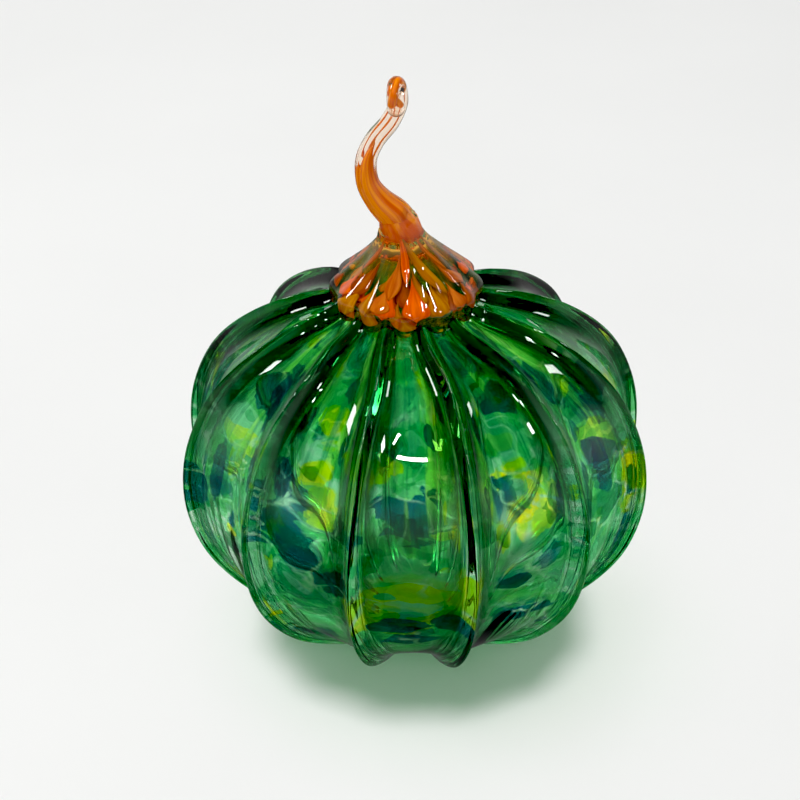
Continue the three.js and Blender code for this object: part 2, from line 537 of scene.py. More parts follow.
@dataclass(frozen=True)
class TableFinish:
    """A pale matt table, faintly clouded."""

    radius: float
    name: str = "pale_table"
    tone: Colour = (0.86, 0.86, 0.85)
    worn: float = 0.975  # how pale the clouds are beside the tone

    # share of the way to the rim, and the light there that evens out the far table
    FAR_GLOW = ((0.12, 0.0), (0.20, 0.10), (0.30, 0.30), (0.45, 0.50), (0.80, 0.62))

    def material(self) -> bpy.types.Material:
        """The table's material."""
        recipe = Recipe(self.name)
        place = recipe.node("ShaderNodeNewGeometry", {}, {}).outputs["Position"]
        cloud = recipe.noise(place, 7.0, 4.0).step(0.3, 0.75)
        colour = recipe.mix(cloud, self.tone, tuple(channel * self.worn for channel in self.tone))
        away = recipe.node("ShaderNodeVectorMath", {"operation": "LENGTH"}, {0: place}).outputs["Value"]
        far = Value(recipe, away) * (1.0 / self.radius)
        glow = recipe.ramp(far, [(share, (level, level, level)) for share, level in self.FAR_GLOW])
        sockets = {"Base Color": colour, "Roughness": 0.75, "Emission Color": glow}
        sockets["Emission Strength"] = 1.0
        return recipe.finish(recipe.node("ShaderNodeBsdfPrincipled", {}, sockets).outputs[0])


# ---------------------------------------------------------------------------------------------
# Mesh building
# ---------------------------------------------------------------------------------------------


def ease(share: Array) -> Array:
    """0 to 1, softly, for shares under 0 to over 1."""
    share = np.clip(share, 0.0, 1.0)
    return share * share * (3.0 - 2.0 * share)


def through_points(points: Array, count: int) -> Array:
    """A smooth curve through points, evenly spaced along its first axis.

    Args:
        points: the points, along axis 0, with any further axes.
        count: how many samples to give.

    Returns:
        The samples, from the first point to the last.
    """
    padded = np.concatenate([2 * points[:1] - points[1:2], points, 2 * points[-1:] - points[-2:-1]])
    place = np.linspace(0.0, len(points) - 1.0, count)
    piece = np.minimum(place.astype(int), len(points) - 2)
    t = (place - piece).reshape((-1,) + (1,) * (points.ndim - 1))
    a, b, c, d = (padded[piece + k] for k in range(4))
    bend = (2 * a - 5 * b + 4 * c - d) * t * t + (3 * b - a - 3 * c + d) * t * t * t
    return 0.5 * (2 * b + (c - a) * t + bend)


def evenly(line: Array, count: int) -> Array:
    """Resample a line so that its samples are equally far apart.

    Args:
        line: the line's points, one a row, whose first two columns are lengths.
        count: how many samples to give.

    Returns:
        The resampled line.
    """
    along = np.concatenate([[0.0], np.cumsum(np.hypot(*np.diff(line[:, :2], axis=0).T))])
    at = np.linspace(0.0, along[-1], count)
    return np.stack([np.interp(at, along, column) for column in line.T], axis=1)


def spokes(turn: Array, fronts: Array, sides: Array) -> Array:
    """Directions round a line.

    Args:
        turn: the angles round it.
        fronts: the direction at angle 0, one for each place on the line.
        sides: the direction a quarter turn on.

    Returns:
        A direction for each place and angle.
    """
    return np.cos(turn)[None, :, None] * fronts[:, None] + np.sin(turn)[None, :, None] * sides[:, None]


@dataclass
class MeshParts:
    """Rings of points joined into one mesh, with numbers kept at each point."""

    vertices: list[Array] = field(default_factory=list)
    faces: list[tuple[int, ...]] = field(default_factory=list)
    slots: list[int] = field(default_factory=list)
    numbers: dict[str, list[Array]] = field(default_factory=dict)
    total: int = 0

    def add_points(self, points: Array, **numbers: Array) -> int:
        """Add points and what is known at each of them.

        Args:
            points: an array whose last axis is x, y, z.
            numbers: a number or a vector for each point, by attribute name.

        Returns:
            The index of the first new point.
        """
        start = self.total
        flat = points.reshape(-1, 3)
        self.vertices.append(flat)
        self.total += len(flat)
        for name, value in numbers.items():
            self.numbers.setdefault(name, []).append(value.reshape(len(flat), -1))
        return start

    def join_rows(self, first: int, second: int, columns: int, slot: int) -> None:
        """Join two rings of the same number of points, the first above the second.

        Args:
            first: the index of the first ring's first point.
            second: the same, for the second ring.
            columns: how many points each ring has.
            slot: the material slot of the new faces.
        """
        for i in range(columns):
            j = (i + 1) % columns
            self.faces.append((first + i, second + i, second + j, first + j))
            self.slots.append(slot)

    def join_rings(self, first: int, columns: int, slots: Sequence[int]) -> None:
        """Join a run of rings, each to the next.

        Args:
            first: the index of the first ring's first point.
            columns: how many points each ring has.
            slots: the material slot of the faces under each ring but the last.
        """
        for row, slot in enumerate(slots):
            start = first + row * columns
            self.join_rows(start, start + columns, columns, slot)

    def join_pole(self, ring: int, pole: int, columns: int, slot: int, pole_first: bool) -> None:
        """Close a ring with a fan.

        Args:
            ring: the index of the ring's first point.
            pole: the index of the middle point.
            columns: how many points the ring has.
            slot: the material slot of the new faces.
            pole_first: True if the middle point comes before the ring.
        """
        for i in range(columns):
            j = (i + 1) % columns
            face = (pole, ring + i, ring + j) if pole_first else (ring + i, pole, ring + j)
            self.faces.append(face)
            self.slots.append(slot)

    def build(self, name: str, materials: Sequence[bpy.types.Material]) -> bpy.types.Object:
        """Make the object.

        Args:
            name: the piece's name.
            materials: its materials, by slot.

        Returns:
            The object, smooth shaded and in the scene.
        """
        mesh = bpy.data.meshes.new(name)
        mesh.from_pydata(np.concatenate(self.vertices).tolist(), [], self.faces)
        for material in materials:
            mesh.materials.append(material)
        mesh.polygons.foreach_set("material_index", self.slots)
        mesh.polygons.foreach_set("use_smooth", [True] * len(self.faces))
        for key, chunks in self.numbers.items():
            values = np.concatenate(chunks)
            kind, channel = ("FLOAT", "value") if values.shape[1] == 1 else ("FLOAT_VECTOR", "vector")
            mesh.attributes.new(key, kind, "POINT").data.foreach_set(channel, values.ravel())
        mesh.update()
        piece = bpy.data.objects.new(name, mesh)
        bpy.context.scene.collection.objects.link(piece)
        return piece


def carried(piece: bpy.types.Object, slot: str, *nodes: str) -> bpy.types.Object:
    """Tie a piece to the body that carries it.

    Args:
        piece: the new piece.
        slot: the record's material slot; not used.
        nodes: the frame's nodes that it stands for.

    Returns:
        The piece.
    """
    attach(piece, "root")
    if nodes:
        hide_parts(*nodes)
    return piece


# ---------------------------------------------------------------------------------------------
# The blown body
# ---------------------------------------------------------------------------------------------


@dataclass(frozen=True)
class Chip:
    """One large chip of colour in the wall."""

    azimuth: float  # degrees
    share: float  # down the outline, 0 at the lip and 1 at the base
    width: float  # millimetres, half way across
    length: float  # millimetres, half way down
    tilt: float = 0.0  # degrees, its foot towards +X


@dataclass
class CrestOutline:
    """The rib crests' outline from the neck's lip to the base, scaled to the frame."""

    radius: float
    height: float
    samples: int = 1201
    soften: float = 2.6 * MM

    # radius and height in shares of the body's own, then the rib's height in millimetres
    POINTS = (
        (0.115, 1.000, 0.0),
        (0.153, 0.975, 0.4),
        (0.198, 0.946, 1.0),
        (0.250, 0.910, 1.8),
        (0.323, 0.877, 2.6),
        (0.456, 0.864, 3.6),
        (0.657, 0.816, 4.6),
        (0.856, 0.722, 5.0),
        (0.967, 0.599, 5.0),
        (1.000, 0.480, 5.0),
        (0.974, 0.367, 5.0),
        (0.887, 0.253, 4.6),
        (0.713, 0.140, 4.0),
        (0.494, 0.060, 3.2),
        (0.313, 0.015, 2.0),
        (0.183, 0.0, 0.0),
        (0.0, 0.0, 0.0),
    )

    def __post_init__(self) -> None:
        """Work out the outline, its length and its outward normals."""
        points = np.array(self.POINTS) * [self.radius, self.height, MM]
        line = evenly(through_points(points, 4 * self.samples), self.samples)
        self.length = float(np.hypot(*np.diff(line[:, :2], axis=0).T).sum())
        line = self._softened(line)
        slope = np.gradient(line[:, :2], axis=0)
        normal = np.stack([-slope[:, 1], slope[:, 0]], axis=1)
        normal /= np.linalg.norm(normal, axis=1, keepdims=True)
        self.table = np.concatenate([line, normal], axis=1)
        self.shares = np.linspace(0.0, 1.0, self.samples)

    def _softened(self, line: Array) -> Array:
        """Ease the outline's bends, keeping its two ends.

        Args:
            line: radius, height and rib height, one sample a row.

        Returns:
            The eased line.
        """
        reach = int(3 * self.soften / self.length * self.samples)
        weights = np.exp(-0.5 * (np.arange(-reach, reach + 1) / (reach / 3)) ** 2)
        weights /= weights.sum()
        ends = [2 * line[0] - line[reach:0:-1], line, 2 * line[-1] - line[-2 : -reach - 2 : -1]]
        padded = np.concatenate(ends)
        return np.stack([np.convolve(column, weights, "valid") for column in padded.T], axis=1)

    def at(self, shares: Array) -> tuple[Array, ...]:
        """Read the outline."""
        return tuple(np.interp(shares, self.shares, column) for column in self.table.T)

    def share_at_radius(self, radius: float) -> float:
        """The share at which the neck has widened to a radius."""
        top = self.table[: self.samples // 3, 0]
        return float(self.shares[np.argmax(top >= radius)])


@dataclass
class RibMould:
    """Ribs from a twelve-point optic mould, set a little unevenly by hand."""

    count: int = 12
    crest_width: float = 1.15 * MM
    skirt_width: float = 3.6 * MM
    crest_share: float = 0.58
    panel_share: float = 0.30

    @property
    def step(self) -> float:
        """The angle from rib to rib."""
        return 2 * math.pi / self.count

    def wander(self, azimuth: Array) -> Array:
        """How far the ribs have drifted from their even places."""
        drift = 0.8 * np.sin(2 * azimuth + 0.7) + 0.5 * np.sin(5 * azimuth + 2.1)
        return np.radians(drift)

    def from_crest(self, azimuth: Array) -> Array:
        """The angle to the nearest rib's crest."""
        turns = (azimuth + self.wander(azimuth)) / self.step
        return np.abs(turns - np.floor(turns) - 0.5) * self.step

    def shape(self, azimuth: Array, radius: Array, widening: float = 1.0) -> Array:
        """1 on a rib's crest, falling in a soft concave flank to 0 on the panel.

        Args:
            azimuth: where round the body.
            radius: how far from its middle.
            widening: how much wider than the outer rib.

        Returns:
            The rib's share of its height.
        """
        half_panel = 0.5 * self.step * radius
        away = self.from_crest(azimuth) * radius / widening
        crest = np.maximum(np.minimum(self.crest_width, self.panel_share * half_panel), 1e-5)
        skirt = np.maximum(np.minimum(self.skirt_width, self.panel_share * 1.3 * half_panel), 1e-5)
        sharp = 1.0 / np.cosh(np.minimum(away / crest, 30.0)) ** 2
        wide = 1.0 / np.cosh(np.minimum(away / skirt, 30.0)) ** 2
        return self.crest_share * sharp + (1.0 - self.crest_share) * wide

    def uneven(self, azimuth: Array) -> Array:
        """How tall each rib is beside the mean one."""
        return 1.0 + 0.07 * np.sin(3 * azimuth + 1.3) + 0.05 * np.sin(7 * azimuth + 0.2)

    def columns(self, samples: int) -> Array:
        """Azimuths that crowd towards the ribs.

        Args:
            samples: how many for each rib.

        Returns:
            The azimuths, from 0 round.
        """
        local = np.arange(samples) / samples - 0.5
        crowded = 0.5 + 0.22 * local + 0.78 * 4.0 * local**3
        even = (np.arange(self.count)[:, None] + crowded[None, :]).ravel() * self.step
        return even - self.wander(even)


class BodySlot(IntEnum):
    """The body's material slots."""

    OUTSIDE = 0
    INSIDE = 1
    JOINT = 2  # the lip and what the stem covers
    BASE = 3


@dataclass
class BlownBody:
    """The hollow body, from its lip down the outside and up the inside."""

    outline: CrestOutline
    ribs: RibMould
    samples_per_rib: int = 30
    outer_rows: int = 140
    inner_rows: int = 128
    wall: float = 3.0 * MM
    base_wall: float = 5.5 * MM
    lip_wall: float = 2.2 * MM
    lip_reach: float = 16 * MM
    base_reach: float = 30 * MM
    base_from: float = 0.72  # share of the outline below which the glass is thick
    inner_rib: float = 0.28  # how much of each rib shows as a hollow inside
    outer_ripple: float = 0.12 * MM
    inner_ripple: float = 0.25 * MM
    neck_lean: float = -2.4 * MM
    back_lean: float = -0.7  # backwards for each bit that it leans sideways
    lean_from: float = 37 * MM
    lean_to: float = 15 * MM
    chips_around: float = 4.0  # flow units in one radian at the middle
    chips_down: float = 15.0  # flow units from lip to base
    seed: int = 11

    TEAL = (
        Chip(2, 0.385, 9.0, 6.5, 12),
        Chip(-6, 0.375, 5.0, 3.5),
        Chip(23, 0.375, 6.0, 7.0, 10),
        Chip(-37, 0.375, 3.2, 5.5, 10),
        Chip(-37, 0.440, 5.0, 7.0, 30),
        Chip(-30, 0.475, 6.5, 6.0, 30),
        Chip(-21, 0.515, 6.0, 4.5, 20),
        Chip(-4, 0.600, 8.0, 3.5),
        Chip(10, 0.590, 6.0, 3.8),
        Chip(27, 0.520, 5.5, 2.6, 8),
        Chip(30, 0.605, 9.0, 3.2),
        Chip(67, 0.295, 6.0, 9.0),
        Chip(60, 0.400, 4.0, 9.0),
        Chip(58, 0.230, 5.0, 8.0),
        Chip(45, 0.150, 3.0, 7.0),
        Chip(-64, 0.425, 3.5, 9.0),
        Chip(-52, 0.250, 5.0, 9.0, 10),
    )
    LIME = (
        Chip(36, 0.385, 4.0, 9.0, 8),
        Chip(31, 0.430, 4.5, 5.0),
        Chip(-57, 0.375, 2.8, 8.0),
        Chip(-25, 0.390, 5.0, 6.0),
        Chip(-13, 0.310, 7.5, 4.5),
        Chip(14, 0.500, 3.0, 4.5),
        Chip(-8, 0.572, 4.0, 2.0),
        Chip(-29, 0.250, 4.0, 5.0),
        Chip(72, 0.470, 4.0, 10.0),
    )
    MINT = (
        Chip(40, 0.550, 5.0, 6.0),
        Chip(-3, 0.475, 6.5, 4.0),
        Chip(-2, 0.556, 8.5, 3.2),
        Chip(29, 0.265, 4.0, 7.0),
        Chip(-6, 0.205, 5.0, 6.0),
        Chip(-50, 0.470, 3.8, 8.0),
        Chip(-43, 0.530, 4.0, 6.0),
        Chip(-33, 0.310, 4.5, 5.0),
        Chip(12, 0.440, 4.0, 6.0),
    )

    def _lean(self, radius: Array, height: Array) -> Array:
        """How far the closing top has moved sideways."""
        share = ease((self.lean_from - radius) / (self.lean_from - self.lean_to))
        return np.where(height > 0.6 * self.outline.height, self.neck_lean * share, 0.0)

    def _placed(self, azimuth: Array, radius: Array, height: Array, lean: Array) -> Array:
        """Points from their azimuth, radius, height and lean, never under the table."""
        x = lean + radius * np.sin(azimuth)
        y = lean * self.back_lean - radius * np.cos(azimuth)
        return np.stack([x, y, np.maximum(height, 0.0)], axis=-1)

    def outer_points(self, shares: Array, azimuth: Array, offset: float = 0.0) -> Array:
        """Points of the outside.

        Args:
            shares: places down the outline, shaped to go with azimuth.
            azimuth: places round the body.
            offset: how far outside the surface.

        Returns:
            The points, with x, y, z on the last axis.
        """
        shares, azimuth = np.broadcast_arrays(shares, azimuth)
        radius, height, rib, out, up = self.outline.at(shares)
        tall = rib * self.ribs.uneven(azimuth)
        ripple = self.outer_ripple * np.sin(9 * azimuth + 14 * shares)
        ripple = ripple * ease(shares * 6) * ease((1 - shares) * 6)
        sunk = offset + ripple + (tall - rib) * 0.5 - tall * (1 - self.ribs.shape(azimuth, radius))
        lean = self._lean(radius, height)
        return self._placed(azimuth, radius + sunk * out, height + sunk * up, lean)

    def inner_points(self, shares: Array, azimuth: Array) -> Array:
        """Points of the inside, which follows the panels and only hints at the ribs.

        Args:
            shares: places down the outline, shaped to go with azimuth.
            azimuth: places round the body.

        Returns:
            The points, with x, y, z on the last axis.
        """
        shares, azimuth = np.broadcast_arrays(shares, azimuth)
        radius, height, rib, out, up = self.outline.at(shares)
        at_lip = ease(1 - radius / self.lip_reach) * (height > 0.5 * self.outline.height)
        at_base = ease(1 - radius / self.base_reach) * (height < 0.3 * self.outline.height)
        thick = self.wall + (self.lip_wall - self.wall) * at_lip + (self.base_wall - self.wall) * at_base
        hint = self.inner_rib * rib * self.ribs.shape(azimuth, radius, 2.2)
        ripple = self.inner_ripple * np.sin(5 * azimuth + 9 * shares + 1.0)
        ripple = ripple * ease(shares * 5) * ease((1 - shares) * 5)
        sunk = hint + ripple - rib - thick
        lean = self._lean(radius, height)
        inner = np.maximum(radius + sunk * out, 0.0)
        return self._placed(azimuth, inner, height + sunk * up, lean)

    def _field(self, chips: Sequence[Chip], shares: Array, azimuth: Array) -> Array:
        """How deep each point lies inside the nearest of some chips.

        Args:
            chips: the chips.
            shares: places down the outline.
            azimuth: places round the body.

        Returns:
            1 in a chip's middle, 0 on its edge and down to -1 outside.
        """
        radius = self.outline.at(shares)[0]
        best = np.full(np.broadcast(shares, azimuth).shape, -1.0)
        for chip in chips:
            turn = azimuth - math.radians(chip.azimuth)
            across = (np.mod(turn + math.pi, 2 * math.pi) - math.pi) * radius
            down = (shares - chip.share) * self.outline.length
            c, s = math.cos(math.radians(chip.tilt)), math.sin(math.radians(chip.tilt))
            wide = (c * across - s * down) / (chip.width * MM)
            long = (s * across + c * down) / (chip.length * MM)
            best = np.maximum(best, 1.0 - np.hypot(wide, long))
        return best

    def _scattered(self, rng: np.random.Generator, count: int, size: float) -> list[Chip]:
        """Chips strewn over the sides and back."""
        spans = ((82, 278), (0.30, 0.82), (0.6 * size, 1.4 * size), (0.6 * size, 1.5 * size), (-30, 30))
        return [Chip(*(float(rng.uniform(*span)) for span in spans)) for _ in range(count)]

    def _colour_fields(self, shares: Array, azimuth: Array) -> dict[str, Array]:
        """Everything that the colour layer's finish reads.

        Args:
            shares: places down the outline, one column.
            azimuth: places round the body, one row.

        Returns:
            The attributes by name.
        """
        rng = np.random.default_rng(self.seed)
        shares, azimuth = np.broadcast_arrays(shares, azimuth)
        radius, height = self.outline.at(shares)[:2]
        around = self.chips_around
        across, towards = around * np.sin(azimuth), -around * np.cos(azimuth)
        # the ribs' painted shade fades out at the lip and at the base
        rib_runs = ease(shares * 14) * ease((0.88 - shares) * 12)
        fields = {
            "flow": np.stack([across, towards, self.chips_down * shares], axis=-1),
            "height": height / self.outline.height,
            # where the foot's darker green, partly painted shade, takes over
            "foot": ease((shares - 0.86) / 0.08),
            "rib": self.ribs.shape(azimuth, radius, 1.25) * rib_runs,
        }
        strewn = (("teal", self.TEAL, 16, 6.5), ("lime", self.LIME, 13, 5.0), ("mint", self.MINT, 14, 6.0))
        for name, chips, count, size in strewn:
            fields[name] = self._field([*chips, *self._scattered(rng, count, size)], shares, azimuth)
        return fields

    def _outer_slot(self, top: float, foot: float, fused_to: float) -> BodySlot:
        """The material slot of one row of the outside's faces.

        Args:
            top: the share at the row's top.
            foot: the share at its foot.
            fused_to: the share down to which the stem covers the outside.

        Returns:
            The slot.
        """
        if foot <= fused_to:
            return BodySlot.JOINT
        return BodySlot.BASE if top > self.base_from else BodySlot.OUTSIDE

    def _add(self, parts: MeshParts, surface: Surface, shares: Array, azimuth: Array) -> int:
        """Add a patch of one surface, with what its finish reads."""
        return parts.add_points(surface(shares, azimuth), **self._colour_fields(shares, azimuth))

    def build(self, fused_to: float, finishes: Sequence[Glass]) -> bpy.types.Object:
        """Make the body.

        Args:
            fused_to: the share down to which the stem covers the outside.
            finishes: the finish of each slot in BodySlot.

        Returns:
            The body.
        """
        parts = MeshParts()
        azimuth = self.ribs.columns(self.samples_per_rib)[None]
        columns = azimuth.size
        inner = np.linspace(0.0, 1.0, self.inner_rows + 1)[:-1][::-1, None]
        outer = np.linspace(0.0, 1.0, self.outer_rows + 1)[:-1, None]
        pole, nowhere = np.ones((1, 1)), np.zeros((1, 1))
        start = self._add(parts, self.inner_points, pole, nowhere)
        inside = self._add(parts, self.inner_points, inner, azimuth)
        outside = self._add(parts, self.outer_points, outer, azimuth)
        end = self._add(parts, self.outer_points, pole, nowhere)
        parts.join_pole(inside, start, columns, BodySlot.INSIDE, True)
        parts.join_rings(inside, columns, [BodySlot.INSIDE] * (self.inner_rows - 1))
        parts.join_rows(outside - columns, outside, columns, BodySlot.JOINT)
        edges = outer[:, 0]
        slots = [self._outer_slot(top, foot, fused_to) for top, foot in zip(edges[:-1], edges[1:])]
        parts.join_rings(outside, columns, slots)
        parts.join_pole(end - columns, end, columns, BodySlot.BASE, False)
        return parts.build("blown_body", [finish.material() for finish in finishes])


# ---------------------------------------------------------------------------------------------
# The stem
# ---------------------------------------------------------------------------------------------


@dataclass(frozen=True)
class Drop:
    """One drop of colour in the cap, drawn out towards the tail."""

    azimuth: float  # degrees, at its foot
    top: float  # share down the cap where its thread starts
    foot: float  # share down the cap where it ends
    width: float  # millimetres, at its widest
    tone: DropColour
    swirl: float  # degrees that the thread leads round
    depth: float  # millimetres under the cap's surface


@dataclass(frozen=True)
class Strand:
    """One strand of colour inside the tail."""

    start: float  # share up the tail
    end: float
    off_centre: float  # share of the tail's radius
    angle: float  # degrees round the tail at its start
    twist: float  # degrees it turns on the way
    widths: tuple[float, ...]  # shares of the tail's radius, from start to end


class StemSlot(IntEnum):
    """The stem's material slots."""

    CLEAR = 0
    JOINT = 1  # what is melted into the body
    POCKET = 2  # what closes the neck's opening


@dataclass
class AppliedStem:
    """The cap that was dropped on the neck, and the tail drawn from it."""

    body: BlownBody
    columns: int = 180
    cap_rows: int = 84
    under_rows: int = 16
    tail_rows: int = 150
    rim_radius: float = 16.9 * MM
    rim_overlap: float = 0.8 * MM  # how far inside the rim the body's own glass goes on
    neck_back: float = 1.7 * MM  # how far the neck and cap lean away from the front
    bedded: float = 0.3 * MM  # how far the cap's foot is melted into the body
    back_from: float = 112 * MM  # the height under which it starts to lean
    back_fade: float = 8 * MM
    lobe_uneven: float = 0.16
    tip_rows: int = 14
    flute: float = 0.03  # how deep the cap's lobes run on into the tail
    amber_from: float = 115 * MM  # the height at which the glass starts to turn amber
    amber_fade: float = 7 * MM
    pocket_dome: float = 0.5 * MM

    # radius, height, sideways place and how far the lobes swell it, in millimetres from the tail down
    CAP = (
        (5.1, 110.6, -3.5, 0.05),
        (6.3, 107.7, -2.9, 0.10),
        (8.6, 104.6, -2.4, 0.20),
        (11.4, 101.7, -2.1, 0.30),
        (14.5, 98.8, -2.0, 0.45),
        (17.3, 95.8, -2.1, 0.65),
    )
    # outwards, upwards and lobe swell of the rim's roll, in millimetres from its foot
    ROLL = ((1.0, 2.4, 0.8), (0.8, 0.8, 0.7))
    # x, y, z and radius in millimetres, from the cap to the hooked tip
    TAIL = (
        (-3.9, 0.0, 112.4, 4.6),
        (-5.3, -0.1, 115.0, 3.9),
        (-8.6, -0.2, 118.6, 3.2),
        (-11.0, -0.3, 123.0, 2.65),
        (-11.3, 0.0, 128.6, 2.45),
        (-9.4, 0.6, 133.2, 2.35),
        (-6.0, 1.4, 137.4, 2.25),
        (-4.0, 2.2, 141.6, 2.1),
        (-4.1, 1.9, 145.4, 2.0),
        (-4.5, -0.6, 147.35, 1.95),
        (-4.7, -3.0, 145.9, 1.95),
        (-4.5, -3.8, 143.2, 2.0),
    )

    def _lobe(self, azimuth: Array) -> Array:
        """1 in the middle of a valley and -1 on a rib, each lobe a little different."""
        own = 1.0 + self.lobe_uneven * np.sin(2.3 * azimuth + 0.4) * np.sin(azimuth * 5 + 1.0)
        return np.cos(self.body.ribs.count * (azimuth + self.body.ribs.wander(azimuth))) * own

    def foot_share(self, azimuth: Array) -> Array:
        """Where the rim's foot lies down the body's outline, further out in the valleys."""
        at_rib = self.body.outline.share_at_radius(self.rim_radius)
        return at_rib + 0.003 * self._lobe(azimuth)

    def _cap_controls(self, azimuth: Array) -> Array:
        """The cap's control points at each azimuth.

        Args:
            azimuth: a row of azimuths.

        Returns:
            An array of rows from the tail to the foot, azimuths, and x, y, z.
        """
        lobe = self._lobe(azimuth)
        rows = []
        for radius, height, lean, swell in np.array(self.CAP) * MM:
            reach = radius + swell * lobe
            back = self.neck_back * min(1.0, (self.back_from - height) / self.back_fade)
            x, y = lean + reach * np.sin(azimuth), back - reach * np.cos(azimuth)
            rows.append(np.stack([x, y, height + 0 * lobe], -1))
        foot = self.body.outer_points(self.foot_share(azimuth), azimuth, -self.bedded)
        for out, up, swell in np.array(self.ROLL) * MM:
            reach = out + swell * lobe
            roll = [reach * np.sin(azimuth), -reach * np.cos(azimuth), up + 0 * lobe]
            rows.append(foot + np.stack(roll, -1))
        rows.append(foot)
        return np.stack(rows)

    def cap_point(self, share: float, azimuth: float) -> Array:
        """One point of the cap's outside.

        Args:
            share: 0 under the tail to 1 at the rim's foot.
            azimuth: where round the cap.

        Returns:
            The point.
        """
        fine = through_points(self._cap_controls(np.array([azimuth])), 65)[:, 0]
        along = np.concatenate([[0.0], np.cumsum(np.linalg.norm(np.diff(fine, axis=0), axis=1))])
        at = share * along[-1]
        return np.array([np.interp(at, along, column) for column in fine.T])

    def tail_line(self, count: int) -> tuple[Array, Array, Array, Array]:
        """The tail's middle line with a frame that doesn't spin.

        Args:
            count: how many samples.

        Returns:
            The points, the radii, and the frame's front and side vectors.
        """
        line = through_points(np.array(self.TAIL) * MM, count)
        points, radii = line[:, :3], line[:, 3]
        tangents = np.gradient(points, axis=0)
        tangents /= np.linalg.norm(tangents, axis=1, keepdims=True)
        front = np.array([0.0, -1.0, 0.0])
        fronts = []
        for tangent in tangents:
            front = front - tangent * front.dot(tangent)
            front = front / np.linalg.norm(front)
            fronts.append(front)
        fronts = np.array(fronts)
        return points, radii, fronts, np.cross(tangents, fronts)

    def _tail_rings(self, azimuth: Array) -> tuple[Array, Array]:
        """The tail's rings from its tip down, and its tip.

        Args:
            azimuth: the rings' azimuths.

        Returns:
            The rings and the point that closes them.
        """
        points, radii, fronts, sides = self.tail_line(self.tail_rows)
        fading = np.linspace(1, 0, self.tail_rows)[:, None] ** 3
        flute = 1.0 + self.flute * fading * self._lobe(azimuth)[None]
        spoke = spokes(azimuth, fronts, sides)
        rings = points[:, None] + spoke * (radii[:, None] * flute)[..., None]
        end = points[-1] - points[-2]
        end = end / np.linalg.norm(end)
        caps = []
        for turn in np.linspace(0, math.pi / 2, self.tip_rows)[1:-1]:
            middle = points[-1] + end * radii[-1] * math.sin(turn)
            caps.append(middle + spoke[-1] * radii[-1] * math.cos(turn))
        tip = points[-1] + end * radii[-1]
        return np.concatenate([rings, np.array(caps)])[::-1], tip

    def build(self, finishes: Sequence[Glass]) -> bpy.types.Object:
        """Make the stem's clear glass.

        Args:
            finishes: the finish of each slot in StemSlot.

        Returns:
            The stem.
        """
        parts = MeshParts()
        columns = self.columns
        azimuth = np.linspace(0, 2 * math.pi, columns, endpoint=False)
        tail, tip = self._tail_rings(azimuth)
        cap = through_points(self._cap_controls(azimuth), self.cap_rows)
        shares = np.linspace(1.0, 0.0, self.under_rows)[:, None] * self.foot_share(azimuth)[None]
        under = self.body.outer_points(shares[1:], azimuth[None], -self.bedded)
        rings = np.concatenate([tail, cap, under])
        lip = under[-1].mean(axis=0)
        amber = ease((self.amber_from - rings[..., 2]) / self.amber_fade)
        start = parts.add_points(tip, amber=np.zeros(1))
        rows = parts.add_points(rings, amber=amber)
        end = parts.add_points(lip + [0.0, 0.0, self.pocket_dome], amber=np.ones(1))
        clear_rows = len(tail) + len(cap) - 1
        parts.join_pole(rows, start, columns, StemSlot.CLEAR, True)
        slots = [StemSlot.CLEAR] * clear_rows + [StemSlot.JOINT] * len(under)
        parts.join_rings(rows, columns, slots)
        parts.join_pole(end - columns, end, columns, StemSlot.POCKET, False)
        return parts.build("stem_glass", [finish.material() for finish in finishes])


